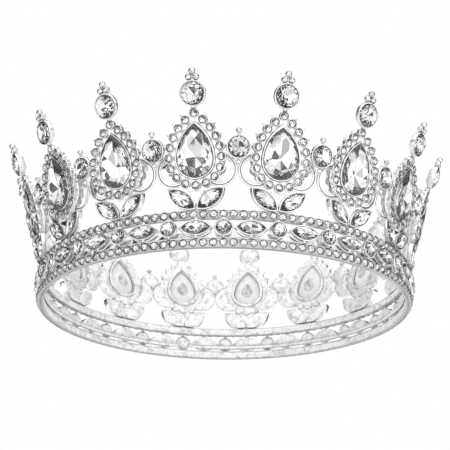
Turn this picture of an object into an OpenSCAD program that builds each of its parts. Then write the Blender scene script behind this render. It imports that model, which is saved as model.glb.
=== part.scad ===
// A full-round openwork crown: two jewelled rails with a row of round and
// leaf-shaped stones between them, and sixteen leaning points above. Each point
// has two leaf stones in a V, two round petals, a pear stone in a halo of small
// stones, a round crest stone and a bead finial. Millimetres, +Z up, origin at
// the centre of the rim it stands on. Angles round the ring count from the
// front (-Y) towards +X.

/* [Ring] */
// Outer radius of the two rails
ring_r = 75; // [72:0.5:80]
// Inner radius of the two rails, the opening for the head
head_r = 72.6; // [70:0.1:72.6]
// Height of the whole band, from the rim to the top of the upper rail
band_h = 14; // [14:0.1:15]
// Height of the lower rail
lower_rail_h = 3.4; // [3.2:0.1:3.5]
// Height of the upper rail
upper_rail_h = 3.2; // [3.1:0.1:3.3]
// Small stones in each rail
rail_stones = 132; // [120:12:132]
// Castings that each rail is soldered together from
rail_castings = 12; // [6:6:12]

/* [Points] */
// Number of points
points = 16; // [8:8:16]
// Lean of the points where they leave the band, in degrees
lean_start = 10.6; // [6:0.2:14]
// Radius of the outward curve of the points
lean_r = 193; // [160:1:260]
// Way up the points to the middle of the base leaves
base_leaf_s = 4.1; // [4.1:0.02:4.3]
// Way up to the centre of the pear stone's round end
pear_s = 18.3; // [18.2:0.1:18.4]
// Way up to the spacer stone
spacer_s = 22.6; // [22.5:0.1:23]
// Way up to the crest stone
crest_s = 41.9; // [41.9:0.1:42.4]

/* [Stones] */
// Width of a pear stone
pear_w = 13.4; // [13:0.1:13.4]
// Length of a pear stone
pear_l = 19.8; // [19.4:0.1:19.8]
// Width of a leaf stone in the band
leaf_w = 5; // [4.6:0.1:5]
// Length of a leaf stone in the band
leaf_l = 10.6; // [10:0.1:10.6]
// Width of a leaf stone at the base of a point
base_leaf_w = 5.2; // [4.8:0.1:5.2]
// Length of a leaf stone at the base of a point
base_leaf_l = 11.3; // [10.6:0.1:11.3]
// Radius of a petal
petal_r = 6.4; // [6:0.1:6.4]
// Diameter of a rail stone
rail_stone_d = 2.8; // [2.5:0.1:2.8]
// Diameter of a halo stone
halo_stone_d = 2.8; // [2.5:0.1:2.8]
// Stones in each halo, with the one at its tip
halo_stones_each = 18; // [16:1:18]
// Diameter of a round stone in the band
band_round_d = 5.6; // [5.2:0.1:5.6]
// Diameter of a spacer stone, between two points
spacer_d = 7.9; // [7.4:0.1:7.9]
// Diameter of a crest stone
crest_d = 8.6; // [8:0.1:8.6]

/* [Hidden] */
$fn = 48;

silver = "gainsboro";
crystal = "aliceblue";

solder = 0.05;      // gap between two castings that are soldered together
setting = 0.05;     // room round a stone in its cup
small_wall = 0.32;  // wall round a small stone
leaf_wall = 0.45;
round_wall = 0.4;
pear_wall = 0.45;
cup_floor = 0.4;
girdle_h = 0.25;    // straight edge of a stone
rim_cover = 0.35;   // how far a cup's rim stands above the bottom of the girdle
round_depth = 0.28; // depth of a round stone below its girdle, for its width

band_stones = points * 3 / 2;
band_face_r = ring_r + 1;       // the rims of the band's cups
band_mid_z = (lower_rail_h + band_h - upper_rail_h) / 2;
band_cup_h = 2.6;
upper_rail_z = band_h - upper_rail_h;
rail_pocket = 1.8;              // depth of the pocket for a rail stone

strip_t = 0.6;
strip_z = [4.3, 6.1];           // bottom and top of the strip inside the band
strip_gap = 2.4;                // degrees left open at the back, on each side

base_leaf_x = 5.16;             // from the middle of the point to the middle of the leaf
base_leaf_turn = 36;
base_cup_h = 2.6;
heart_t = 1.3;                  // thickness of the web in the V
heart_depth = 2.2;              // back of the web, below the rims of the leaf cups

petal_s = pear_s - 3.5;
petal_depth = 2.4;              // the petals lie behind the halos
petal_t = 1;
petal_rim_w = 1.4;              // the raised rim
petal_rim_h = 0.35;
petal_trim_r = 10.2;            // each petal is cut away inside the line of the halo

halo_gap = 2.8;                 // from the pear stone's edge to the halo's line
halo_t = 2;                     // thickness of the halo casting
halo_plate_t = 1.4;
apex_y = 16.7;                  // the stone at the halo's tip
picots_each_side = 4;
picot_r = 0.42;

crest_cup_h = 3.3;
finial_r = 1.25;
bead_depth = 1.2;               // middle of the beads, below the rims of the cups
spacer_cup_h = 3;
spacer_bead_r = 1.05;
spacer_stem = 0.6;              // stem between the spacer's cup and its bead
spacer_stem_r = 0.5;
spacer_link_r = 0.9;
pear_cup_h = 3;
spacer_step = 360 / points / 2;

// The face of the crown above the band leans out along an arc. s is the way up it.
function lean(s) = lean_start + s * 180 / (PI * lean_r);
function face_r(s) = ring_r + 0.2 + lean_r * (cos(lean_start) - cos(lean(s)));
function face_z(s) = band_h + lean_r * (sin(lean(s)) - sin(lean_start));
function degrees_of(arc, s) = arc / face_r(s) * 180 / PI;

// Local axes on the crown: +X round the ring, +Y up the face, +Z out of it.
module on_band(angle, z, r = ring_r) {
    rotate([0, 0, angle]) translate([0, -r, z]) rotate([90, 0, 0]) children();
}
module on_face(angle, s) {
    rotate([0, 0, angle]) translate([0, -face_r(s), face_z(s)]) rotate([90 + lean(s), 0, 0]) children();
}
module each_point() {
    for (i = [0 : points - 1]) let ($angle = i * 360 / points) children();
}

// ---------- outlines ----------

// A leaf is the overlap of two equal discs.
function leaf_r(w, l) = (l * l / 4 + w * w / 4) / w;
function leaf_half(w, l, grow) = sqrt(pow(leaf_r(w, l) + grow, 2) - pow(leaf_r(w, l) - w / 2, 2));
module leaf_outline(w, l, grow = 0) {
    shift = leaf_r(w, l) - w / 2;
    intersection() {
        translate([0, shift]) circle(leaf_r(w, l) + grow);
        translate([0, -shift]) circle(leaf_r(w, l) + grow);
    }
}
// A pear is half a disc with an arc on each side that meets the other at the tip.
pear_r = pear_w / 2;
pear_tip = pear_l - pear_r;
pear_shift = (pow(pear_tip, 2) - pow(pear_r, 2)) / pear_w;
function pear_side(grow) = pear_r + pear_shift + grow;
function tip_angle(grow) = acos(pear_shift / pear_side(grow));
function pear_outline(grow, steps) = concat(
    [for (i = [0 : steps - 1]) let (a = tip_angle(grow) * (1 - i / steps))
        [pear_side(grow) * cos(a) - pear_shift, pear_side(grow) * sin(a)]],
    [for (i = [0 : 2 * steps]) let (a = -180 * i / (2 * steps))
        [(pear_r + grow) * cos(a), (pear_r + grow) * sin(a)]],
    [for (i = [1 : steps - 1]) let (a = tip_angle(grow) * i / steps)
        [pear_shift - pear_side(grow) * cos(a), pear_side(grow) * sin(a)]]);

// The halo's line, as the pear's outline grown by halo_gap: where a stone sits, and
// which way is out of the line there.
side_run = pear_side(halo_gap) * tip_angle(halo_gap) * PI / 180;
halo_run = 2 * side_run + PI * (pear_r + halo_gap);
function halo_turn(run) = run < side_run
    ? tip_angle(halo_gap) - run / pear_side(halo_gap) * 180 / PI
    : -(run - side_run) / (pear_r + halo_gap) * 180 / PI;
function halo_spot(run) = run < side_run
    ? [pear_side(halo_gap) * cos(halo_turn(run)) - pear_shift, pear_side(halo_gap) * sin(halo_turn(run))]
    : (pear_r + halo_gap) * [cos(halo_turn(run)), sin(halo_turn(run))];
// Stone k counts clockwise from the tip, and the left half mirrors the right.
function halo_place(k) = k == 0 ? [0, apex_y]
    : k <= halo_stones_each / 2 ? halo_spot(k * halo_run / halo_stones_each)
    : let (p = halo_place(halo_stones_each - k)) [-p[0], p[1]];

// ---------- stones ----------

// A round stone. z = 0 is the rim of its cup.
module round_stone(d) {
    girdle = -rim_cover;
    rotate_extrude()
        polygon([[0, girdle - round_depth * d], [d / 2, girdle], [d / 2, girdle + girdle_h],
                 [0.3 * d, girdle + girdle_h + 0.16 * d], [0, girdle + girdle_h + 0.16 * d]]);
}
// A small stone, with a step for its table and one for the point below it.
module small_stone(d) {
    girdle = -rim_cover;
    rotate_extrude()
        polygon([[0, girdle - 0.3 * d], [0.25 * d, girdle - 0.3 * d], [0.25 * d, girdle],
                 [d / 2, girdle], [d / 2, girdle + girdle_h], [0.34 * d, girdle + girdle_h],
                 [0.34 * d, girdle + girdle_h + 0.15 * d], [0, girdle + girdle_h + 0.15 * d]]);
}
// A faceted stone over any outline: a table, a ring of crown facets, the girdle and
// facets that meet in a point below.
module cut_stone(outline, table, crown, depth) {
    n = len(outline);
    girdle = -rim_cover;
    rings = concat(
        [for (p = outline) [p[0] * table, p[1] * table, girdle + girdle_h + crown]],
        [for (p = outline) [p[0], p[1], girdle + girdle_h]],
        [for (p = outline) [p[0], p[1], girdle]],
        [[0, 0, girdle - depth]]);
    sides = [for (ring = [0, 1], i = [0 : n - 1]) let (j = (i + 1) % n, a = ring * n)
        [a + i, a + j, a + n + j, a + n + i]];
    point = [for (i = [0 : n - 1]) [2 * n + i, 2 * n + (i + 1) % n, 3 * n]];
    polyhedron(rings, concat([[for (i = [n - 1 : -1 : 0]) i]], sides, point));
}
// The leaf's corners lie on its two arcs, clockwise from its right-hand tip.
module leaf_stone(w, l) {
    r = leaf_r(w, l);
    swing = asin(l / 2 / r);
    cut_stone([for (i = [0 : 7]) let (half = i < 4 ? -1 : 1, a = swing * (1 - (i % 4) / 2))
        [-half * r * sin(a), half * (r * cos(a) - r + w / 2)]], 0.5, 0.95, 1.6);
}
module pear_stone() {
    cut_stone(pear_outline(0, 4), 0.62, 1.7, 3.1);
}

// ---------- cups ----------

// A round cup with its rim at z = 0, and a floor that closes its back.
module round_cup(d, h) {
    bore = d / 2 + setting;
    rotate_extrude()
        polygon([[0, -h], [bore * 0.7, -h], [bore + round_wall, -h * 0.55], [bore + round_wall, 0],
                 [bore, 0], [bore, -rim_cover - setting],
                 [bore * 0.62, cup_floor - h], [0, cup_floor - h]]);
}
module leaf_cup(w, l, h) {
    translate([0, 0, -h]) linear_extrude(h) difference() {
        leaf_outline(w, l, setting + leaf_wall);
        leaf_outline(w, l, setting);
    }
    translate([0, 0, -h]) linear_extrude(cup_floor) leaf_outline(w, l, setting + leaf_wall / 2);
}
// The pear's cup has an open back with a ledge that the stone's edge rests on.
module pear_cup() {
    outside = pear_outline(setting + pear_wall, 8);
    translate([0, 0, -rim_cover - setting]) linear_extrude(rim_cover + setting) difference() {
        polygon(outside);
        polygon(pear_outline(setting, 8));
    }
    translate([0, 0, -pear_cup_h]) linear_extrude(pear_cup_h - rim_cover - setting) difference() {
        polygon(outside);
        polygon(pear_outline(-0.5, 8));
    }
}

// ---------- the band ----------

// One casting of a rail, with a pocket for each of its stones.
module rail_casting(z, h) {
    step = 360 / rail_stones;
    sweep = 360 / rail_castings;
    trim = solder / ring_r * 180 / PI;
    difference() {
        rotate([0, 0, trim / 2 - 90]) rotate_extrude(angle = sweep - trim, $fn = 180)
            translate([head_r, z]) square([ring_r - head_r, h]);
        for (k = [0 : rail_stones / rail_castings - 1])
            on_band((k + 0.5) * step, z + h / 2) translate([0, 0, -rail_pocket])
                cylinder(d = rail_stone_d + 2 * setting, h = rail_pocket + 1);
    }
}
module rail(z, h) {
    color(silver) for (i = [0 : rail_castings - 1])
        rotate([0, 0, i * 360 / rail_castings]) rail_casting(z, h);
}
module rail_stone_row(z) {
    color(crystal) for (k = [0 : rail_stones - 1])
        on_band((k + 0.5) * 360 / rail_stones, z) small_stone(rail_stone_d);
}
module inner_strip(side) {
    color(silver) rotate([0, 0, side > 0 ? -90 + 0.05 : 90 + strip_gap])
        rotate_extrude(angle = 180 - strip_gap - 0.05, $fn = 180)
            translate([head_r, strip_z[0]]) square([strip_t, strip_z[1] - strip_z[0]]);
}
module each_band_round() {
    for (i = [0 : band_stones - 1])
        on_band(i * 360 / band_stones, band_mid_z, band_face_r) children();
}
module each_band_leaf() {
    for (i = [0 : band_stones - 1])
        on_band((i + 0.5) * 360 / band_stones, band_mid_z, band_face_r) children();
}
// A bead of metal between each round cup and the leaf cup beside it.
link_line_r = band_face_r - 1.1;
link_low = band_round_d / 2 + setting + round_wall;
link_high = link_line_r * PI / band_stones - leaf_half(leaf_w, leaf_l, setting + leaf_wall);
module band_links() {
    reach = (link_low + link_high) / 2 / link_line_r * 180 / PI;
    color(silver) for (i = [0 : band_stones - 1], side = [-1, 1])
        on_band(i * 360 / band_stones + side * reach, band_mid_z, link_line_r)
            sphere((link_high - link_low) / 2 - solder, $fn = 24);
}
// Short posts that tie the cups to the rails above and below.
module band_posts() {
    gap = (upper_rail_z - lower_rail_h) / 2;
    round_gap = gap - band_round_d / 2 - setting - round_wall;
    leaf_gap = gap - leaf_w / 2 - setting - leaf_wall;
    color(silver) for (i = [0 : 2 * band_stones - 1], side = [-1, 1]) {
        post = i % 2 == 0 ? round_gap : leaf_gap;
        on_band(i * 180 / band_stones, band_mid_z + side * (gap - post / 2), ring_r - 0.2)
            cube([1.2, post - 2 * solder, 0.9], center = true);
    }
}

// ---------- the points ----------

module base_leaf(angle, side) {
    on_face(angle, base_leaf_s) translate([side * base_leaf_x, 0, 0])
        rotate([0, 0, side * base_leaf_turn]) children();
}
// A web of metal that fills the V between the base leaves.
module heart_web() {
    top = 2.75;
    half_w = 3.7;
    foot = -3;
    on_face($angle, base_leaf_s) translate([0, 0, -heart_depth]) linear_extrude(heart_t) difference() {
        polygon([[0, foot], [half_w, top], [-half_w, top]]);
        for (side = [-1, 1]) translate([side * base_leaf_x, 0]) rotate(side * base_leaf_turn)
            leaf_outline(base_leaf_w, base_leaf_l, setting + leaf_wall + solder);
    }
}
// A petal: a round plate with a raised rim, behind the halo. Each petal meets the next
// point's petal halfway between the two points.
petal_back_r = face_r(petal_s) - (petal_depth + petal_t) * cos(lean(petal_s));
petal_swing = spacer_step - atan((petal_r + solder) / petal_back_r);
module petal(side) {
    difference() {
        on_face($angle + side * petal_swing, petal_s) translate([0, 0, -petal_depth]) difference() {
            translate([0, 0, -petal_t]) cylinder(r = petal_r, h = petal_t);
            translate([0, 0, -petal_rim_h]) cylinder(r = petal_r - petal_rim_w, h = 1);
        }
        on_face($angle, pear_s) translate([0, 0, -2 * pear_cup_h])
            cylinder(r = petal_trim_r, h = 2 * pear_cup_h);
    }
}
// The halo: a plate round the pear's cup, with a cup for each small stone.
module each_halo_place() {
    for (k = [0 : halo_stones_each - 1]) translate(halo_place(k)) children();
}
module halo_frame() {
    bore = halo_stone_d / 2 + setting;
    on_face($angle, pear_s) difference() {
        union() {
            translate([0, 0, -halo_t]) linear_extrude(halo_plate_t) difference() {
                union() {
                    polygon(pear_outline(halo_gap + 0.3, 8));
                    each_halo_place() circle(bore + small_wall);
                }
                polygon(pear_outline(setting + pear_wall + solder, 8));
            }
            each_halo_place() translate([0, 0, -halo_t]) cylinder(r = bore + small_wall, h = halo_t);
        }
        each_halo_place() translate([0, 0, cup_floor - halo_t]) cylinder(r = bore, h = halo_t);
    }
}
module halo_stone(k) {
    on_face($angle, pear_s) translate(halo_place(k)) small_stone(halo_stone_d);
}
// Tiny beads on the outside of the halo's upper cups.
module halo_picots() {
    reach = halo_stone_d / 2 + setting + small_wall + picot_r + solder;
    for (k = [1 : picots_each_side], side = [-1, 1]) {
        turn = halo_turn(k * halo_run / halo_stones_each);
        spot = halo_place(k) + reach * [cos(turn), sin(turn)];
        on_face($angle, pear_s) translate([side * spot[0], spot[1], -0.9]) sphere(picot_r, $fn = 24);
    }
}
// A bead on each side that ties the halo to the spacer's cup beside it.
halo_side_k = 4;                // the halo stone that is level with the spacer
halo_edge = halo_place(halo_side_k)[0] + halo_stone_d / 2 + setting + small_wall;
spacer_edge = spacer_step * PI / 180 * face_r(spacer_s) - spacer_d / 2 - setting - round_wall;
module halo_links() {
    for (side = [-1, 1])
        on_face($angle + side * degrees_of((halo_edge + spacer_edge) / 2, spacer_s), spacer_s)
            translate([0, 0, -bead_depth]) sphere((spacer_edge - halo_edge) / 2 - solder, $fn = 24);
}
// A short neck from the cup at the halo's tip up to the crest cup.
module crest_neck() {
    low = pear_s + apex_y + halo_stone_d / 2 + setting + small_wall + solder;
    high = crest_s - crest_d / 2 - setting - round_wall - solder;
    on_face($angle, (low + high) / 2) translate([0, 0, -bead_depth])
        cube([2, high - low, 1.5], center = true);
}
// The finial: two beads side by side on the crest cup, and one on top of them.
module crest_finial() {
    foot = crest_d / 2 + setting + round_wall + solder + finial_r;
    spread = finial_r + 0.1;
    first = sqrt(pow(foot, 2) - pow(spread, 2));
    second = first + sqrt(pow(2 * finial_r + solder, 2) - pow(spread, 2));
    on_face($angle, crest_s) translate([0, 0, -bead_depth]) {
        for (side = [-1, 1]) translate([side * spread, first, 0]) sphere(finial_r);
        translate([0, second, 0]) sphere(finial_r);
    }
}
// A bead on a stem above the spacer's cup, turned in one piece about its upright axis.
module spacer_bead() {
    foot = spacer_d / 2 + setting + round_wall + solder;
    waist = asin(spacer_stem_r / spacer_bead_r);
    middle = spacer_stem + spacer_bead_r * cos(waist);
    on_face($angle + spacer_step, spacer_s) translate([0, foot, -bead_depth]) rotate([-90, 0, 0])
        rotate_extrude() polygon(concat([[0, 0], [spacer_stem_r, 0]],
            [for (i = [0 : 6]) let (a = waist + (180 - waist) * i / 6)
                [spacer_bead_r * sin(a), middle - spacer_bead_r * cos(a)]]));
}
// A bead below the spacer's cup, in front of the place where two petals meet.
module spacer_link() {
    on_face($angle + spacer_step, spacer_s - spacer_d / 2 - setting - round_wall - solder - spacer_link_r)
        translate([0, 0, -bead_depth]) sphere(spacer_link_r);
}

// ---------- nodes ----------

rail(0, lower_rail_h);  // lower_rail
rail(upper_rail_z, upper_rail_h);  // upper_rail
inner_strip(-1);  // inner_strip_left
inner_strip(1);  // inner_strip_right
color(silver) each_band_round() round_cup(band_round_d, band_cup_h);  // band_round_cups
color(silver) each_band_leaf() leaf_cup(leaf_w, leaf_l, band_cup_h);  // band_leaf_cups
band_links();
band_posts();
color(silver) each_point() base_leaf($angle, -1) leaf_cup(base_leaf_w, base_leaf_l, base_cup_h);  // base_leaf_cups_left
color(silver) each_point() base_leaf($angle, 1) leaf_cup(base_leaf_w, base_leaf_l, base_cup_h);  // base_leaf_cups_right
color(silver) each_point() heart_web();  // heart_webs
color(silver) each_point() petal(-1);  // petals_left
color(silver) each_point() petal(1);  // petals_right
color(silver) each_point() on_face($angle, pear_s) pear_cup();  // pear_cups
color(silver) each_point() halo_frame();  // halo_frames
color(silver) each_point() halo_picots();
color(silver) each_point() halo_links();
color(silver) each_point() on_face($angle, crest_s) round_cup(crest_d, crest_cup_h);  // crest_cups
color(silver) each_point() crest_neck();  // crest_necks
color(silver) each_point() crest_finial();  // crest_finials
color(silver) each_point() on_face($angle + spacer_step, spacer_s) round_cup(spacer_d, spacer_cup_h);  // spacer_cups
color(silver) each_point() spacer_bead();  // spacer_beads
color(silver) each_point() spacer_link();  // spacer_links
rail_stone_row(lower_rail_h / 2);  // lower_rail_stones
rail_stone_row(upper_rail_z + upper_rail_h / 2);  // upper_rail_stones
color(crystal) each_band_round() round_stone(band_round_d);  // band_round_stones
color(crystal) each_band_leaf() leaf_stone(leaf_w, leaf_l);  // band_leaf_stones
color(crystal) each_point() base_leaf($angle, -1) leaf_stone(base_leaf_w, base_leaf_l);  // base_leaf_stones_left
color(crystal) each_point() base_leaf($angle, 1) leaf_stone(base_leaf_w, base_leaf_l);  // base_leaf_stones_right
color(crystal) each_point() on_face($angle, pear_s) pear_stone();  // pear_stones
color(crystal) each_point() for (k = [1 : halo_stones_each - 1]) halo_stone(k);  // halo_stones
color(crystal) each_point() halo_stone(0);  // apex_stones
color(crystal) each_point() on_face($angle, crest_s) round_stone(crest_d);  // crest_stones
color(crystal) each_point() on_face($angle + spacer_step, spacer_s) round_stone(spacer_d);  // spacer_stones
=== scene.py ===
"""A full-round rhinestone crown: cut stones, cast and plated settings, a light studio and the camera."""

import random
from math import acos, atan, cos, degrees, pi, radians, sin, sqrt

import bmesh
import bpy
from mathutils import Matrix, Vector


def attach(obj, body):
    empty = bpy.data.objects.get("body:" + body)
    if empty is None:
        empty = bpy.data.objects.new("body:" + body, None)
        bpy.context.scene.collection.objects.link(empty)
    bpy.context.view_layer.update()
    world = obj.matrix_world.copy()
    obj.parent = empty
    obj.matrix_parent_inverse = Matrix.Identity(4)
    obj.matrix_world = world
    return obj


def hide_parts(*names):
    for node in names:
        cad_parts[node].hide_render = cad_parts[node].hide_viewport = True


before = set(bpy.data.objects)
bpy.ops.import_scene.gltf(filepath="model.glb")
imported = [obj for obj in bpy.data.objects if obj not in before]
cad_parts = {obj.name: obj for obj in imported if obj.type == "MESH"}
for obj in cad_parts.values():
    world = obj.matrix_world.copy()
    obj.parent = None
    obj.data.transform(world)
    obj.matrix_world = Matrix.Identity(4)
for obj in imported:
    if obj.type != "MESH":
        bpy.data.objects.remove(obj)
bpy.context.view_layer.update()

MM = 0.001
random.seed(7)

# ---------- sizes in millimetres, as the CAD model has them ----------

RING_R, HEAD_R, BAND_H = 75.0, 72.6, 14.0
LOWER_RAIL_H, UPPER_RAIL_H = 3.4, 3.2
RAIL_STONES = 132
POINTS = 16
LEAN_START, LEAN_R = 10.6, 193.0
BASE_LEAF_S, PEAR_S, SPACER_S, CREST_S = 4.1, 18.3, 22.6, 41.9
PEAR_W, PEAR_L = 13.4, 19.8
LEAF, BASE_LEAF = (5.0, 10.6), (5.2, 11.3)      # width and length
PETAL_R = 6.4
SMALL_D, BAND_ROUND_D, SPACER_D, CREST_D = 2.8, 5.6, 7.9, 8.6
HALO_STONES = 18

SETTING, SOLDER = 0.05, 0.05            # the gaps round a stone and between two castings
BAND_STONES = POINTS * 3 // 2
BAND_FACE_R = RING_R + 1
BAND_MID_Z = (LOWER_RAIL_H + BAND_H - UPPER_RAIL_H) / 2
BASE_LEAF_X, BASE_LEAF_TURN = 5.16, 36.0
PETAL_S, PETAL_DEPTH, PETAL_T, PETAL_TRIM_R = PEAR_S - 3.5, 2.4, 1.0, 10.2
HALO_GAP, HALO_T, APEX_Y = 2.8, 2.0, 16.7
SMALL_WALL, LEAF_WALL, ROUND_WALL, PEAR_WALL = 0.32, 0.45, 0.4, 0.45
PEAR_CUP_H = 3.0
CREST_CUP_H, SPACER_CUP_H = 3.3, 3.0
BAND_CUP_H, BASE_CUP_H = 2.6, 2.6
BEAD_DEPTH, FINIAL_R, SPACER_BEAD_R, SPACER_STEM, SPACER_LINK_R = 1.2, 1.25, 1.05, 0.6, 0.9
STRIP_Z, STRIP_T, STRIP_GAP = (4.3, 6.1), 0.6, 2.4
STEP = 360 / POINTS

GIRDLE_LOW, GIRDLE_HIGH = -0.35, -0.10  # a stone's edge, from the rim of its cup


# ---------- places on the crown ----------

def lean(s):
    return LEAN_START + degrees(s / LEAN_R)


def face_r(s):
    return RING_R + 0.2 + LEAN_R * (cos(radians(LEAN_START)) - cos(radians(lean(s))))


def face_z(s):
    return BAND_H + LEAN_R * (sin(radians(lean(s))) - sin(radians(LEAN_START)))


def turn(angle, axis):
    return Matrix.Rotation(radians(angle), 4, axis)


def move(x=0.0, y=0.0, z=0.0):
    return Matrix.Translation((x, y, z))


def on_band(angle, z, r=RING_R):
    """+X round the ring, +Y up the band, +Z out of it."""
    return turn(angle, "Z") @ move(0, -r, z) @ turn(90, "X")


def on_face(angle, s):
    """+X round the ring, +Y up the leaning face, +Z out of it."""
    return turn(angle, "Z") @ move(0, -face_r(s), face_z(s)) @ turn(90 + lean(s), "X")


POINT_ANGLES = [i * STEP for i in range(POINTS)]
BAND_ROUNDS = [on_band(i * 360 / BAND_STONES, BAND_MID_Z, BAND_FACE_R) for i in range(BAND_STONES)]
BAND_LEAVES = [on_band((i + 0.5) * 360 / BAND_STONES, BAND_MID_Z, BAND_FACE_R) for i in range(BAND_STONES)]
LOWER_RAIL_Z, UPPER_RAIL_Z = LOWER_RAIL_H / 2, BAND_H - UPPER_RAIL_H / 2


def rail_places(z):
    return [on_band((k + 0.5) * 360 / RAIL_STONES, z) for k in range(RAIL_STONES)]


def base_leaves(side):
    return [on_face(a, BASE_LEAF_S) @ move(side * BASE_LEAF_X) @ turn(side * BASE_LEAF_TURN, "Z")
            for a in POINT_ANGLES]


def petals(side):
    back_r = face_r(PETAL_S) - (PETAL_DEPTH + PETAL_T) * cos(radians(lean(PETAL_S)))
    swing = STEP / 2 - degrees(atan((PETAL_R + SOLDER) / back_r))
    return [on_face(a + side * swing, PETAL_S) @ move(0, 0, -PETAL_DEPTH) for a in POINT_ANGLES]


# ---------- outlines: lists of (x, y), clockwise from the top or the right-hand tip ----------

def leaf_outline(size):
    width, length = size
    plain_r = (length ** 2 + width ** 2) / 4 / width
    shift = plain_r - width / 2

    def outline(grow, steps):
        r = plain_r + grow
        swing = acos(shift / r)
        angles = [swing * (1 - 2 * i / steps) for i in range(steps)]
        lower = [(r * sin(a), shift - r * cos(a)) for a in angles]
        return lower + [(-x, -y) for x, y in lower]
    return outline


PEAR_R = PEAR_W / 2
PEAR_TIP = PEAR_L - PEAR_R
PEAR_SHIFT = (PEAR_TIP ** 2 - PEAR_R ** 2) / PEAR_W


def pear_side(grow):
    return PEAR_R + PEAR_SHIFT + grow


def tip_angle(grow):
    return acos(PEAR_SHIFT / pear_side(grow))


def pear_outline(grow, steps):
    side, tip = pear_side(grow), tip_angle(grow)
    right = [(side * cos(tip * (1 - i / steps)) - PEAR_SHIFT, side * sin(tip * (1 - i / steps)))
             for i in range(steps)]
    end = [((PEAR_R + grow) * cos(-pi * i / (2 * steps)), (PEAR_R + grow) * sin(-pi * i / (2 * steps)))
           for i in range(2 * steps + 1)]
    left = [(-x, y) for x, y in reversed(right[1:])]
    return right + end + left


def round_outline(r, steps):
    return [(r * sin(2 * pi * i / steps), r * cos(2 * pi * i / steps)) for i in range(steps)]


SIDE_RUN = pear_side(HALO_GAP) * tip_angle(HALO_GAP)
HALO_RUN = 2 * SIDE_RUN + pi * (PEAR_R + HALO_GAP)


def halo_turn(run):
    """The way out of the halo's line, in radians from +X, at that distance from its tip."""
    if run < SIDE_RUN:
        return tip_angle(HALO_GAP) - run / pear_side(HALO_GAP)
    return -(run - SIDE_RUN) / (PEAR_R + HALO_GAP)


def halo_spot(run):
    a = halo_turn(run)
    if run < SIDE_RUN:
        return pear_side(HALO_GAP) * cos(a) - PEAR_SHIFT, pear_side(HALO_GAP) * sin(a)
    return (PEAR_R + HALO_GAP) * cos(a), (PEAR_R + HALO_GAP) * sin(a)


def halo_place(k):
    if k == 0:
        return 0.0, APEX_Y
    if k <= HALO_STONES / 2:
        return halo_spot(k * HALO_RUN / HALO_STONES)
    x, y = halo_place(HALO_STONES - k)
    return -x, y


HALO_SPOTS = [halo_place(k) for k in range(HALO_STONES)]


# ---------- mesh building ----------

class Shape:
    """Vertices, faces and a material number for each face, in millimetres."""

    def __init__(self):
        self.verts, self.faces, self.marks = [], [], []

    def ring(self, points):
        first = len(self.verts)
        self.verts += [Vector(p) for p in points]
        return list(range(first, first + len(points)))

    def face(self, corners, mark=0):
        self.faces.append(tuple(corners))
        self.marks.append(mark)

    def band(self, a, b, mark=0):
        """Quads between two closed rings of the same length."""
        n = len(a)
        for i in range(n):
            j = (i + 1) % n
            self.face((a[i], a[j], b[j], b[i]), mark)

    def add(self, other, place=Matrix.Identity(4)):
        first = len(self.verts)
        self.verts += [place @ v for v in other.verts]
        self.faces += [tuple(first + i for i in f) for f in other.faces]
        self.marks += other.marks
        return self


def loft(rings, close_start=True, close_end=True, mark=0):
    """Skin over rings of (x, y, z) points."""
    s = Shape()
    rows = [s.ring(r) for r in rings]
    for a, b in zip(rows, rows[1:]):
        s.band(a, b, mark)
    if close_start:
        s.face(reversed(rows[0]), mark)
    if close_end:
        s.face(rows[-1], mark)
    return s


def revolve(profile, steps):
    """A turned solid from (radius, height) pairs, which run from the bottom up."""
    return loft([[(x, y, z) for x, y in round_outline(r, steps)] for r, z in profile])


def from_outline(outline, levels, steps):
    """A solid that follows an outline: levels are (grow, height) pairs."""
    return loft([[(x, y, z) for x, y in outline(g, steps)] for g, z in levels])


POLE = 0.02                             # the radius left at a ball's pole, for its own


def ball(r, around, up):
    profile = [(max(r * sin(pi * i / up), POLE * r), -r * cos(pi * i / up)) for i in range(up + 1)]
    return revolve(profile, around)


def peg(r, length, around=12, tip=4):
    """A round-ended peg along +Z, from z = 0."""
    profile = [(r * 1.25, 0), (r * 1.05, length * 0.25), (r, length - r)]
    profile += [(max(r * cos(pi / 2 * i / tip), POLE * r), length - r + r * sin(pi / 2 * i / tip))
                for i in range(1, tip + 1)]
    return revolve(profile, around)


def between(a, b, r_end, r_mid, around=12, up=6):
    """A waisted bar from a to b."""
    a, b = Vector(a), Vector(b)
    length = (b - a).length
    profile = [(r_mid + (r_end - r_mid) * (2 * i / up - 1) ** 2, length * i / up) for i in range(up + 1)]
    place = Matrix.Translation(a) @ (b - a).to_track_quat("Z", "Y").to_matrix().to_4x4()
    return Shape().add(revolve(profile, around), place)


def finish_piece(name, shape, materials, nodes, smooth=None):
    """Makes the object, hangs it on the root body and hides the CAD parts that it stands in for. Edges
    sharper than smooth stay sharp.
    """
    mesh = bpy.data.meshes.new(name)
    mesh.from_pydata([v * MM for v in shape.verts], [], shape.faces)
    for m in materials:
        mesh.materials.append(m)
    mesh.polygons.foreach_set("material_index", shape.marks)
    mesh.validate()
    outward = bmesh.new()
    outward.from_mesh(mesh)
    bmesh.ops.recalc_face_normals(outward, faces=outward.faces)
    outward.to_mesh(mesh)
    outward.free()
    if smooth is not None:
        mesh.shade_smooth()
        mesh.set_sharp_from_angle(angle=radians(smooth))
    obj = bpy.data.objects.new(name, mesh)
    bpy.context.scene.collection.objects.link(obj)
    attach(obj, "root")
    if nodes:
        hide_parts(*nodes)
    return obj


# ---------- stones ----------

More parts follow.
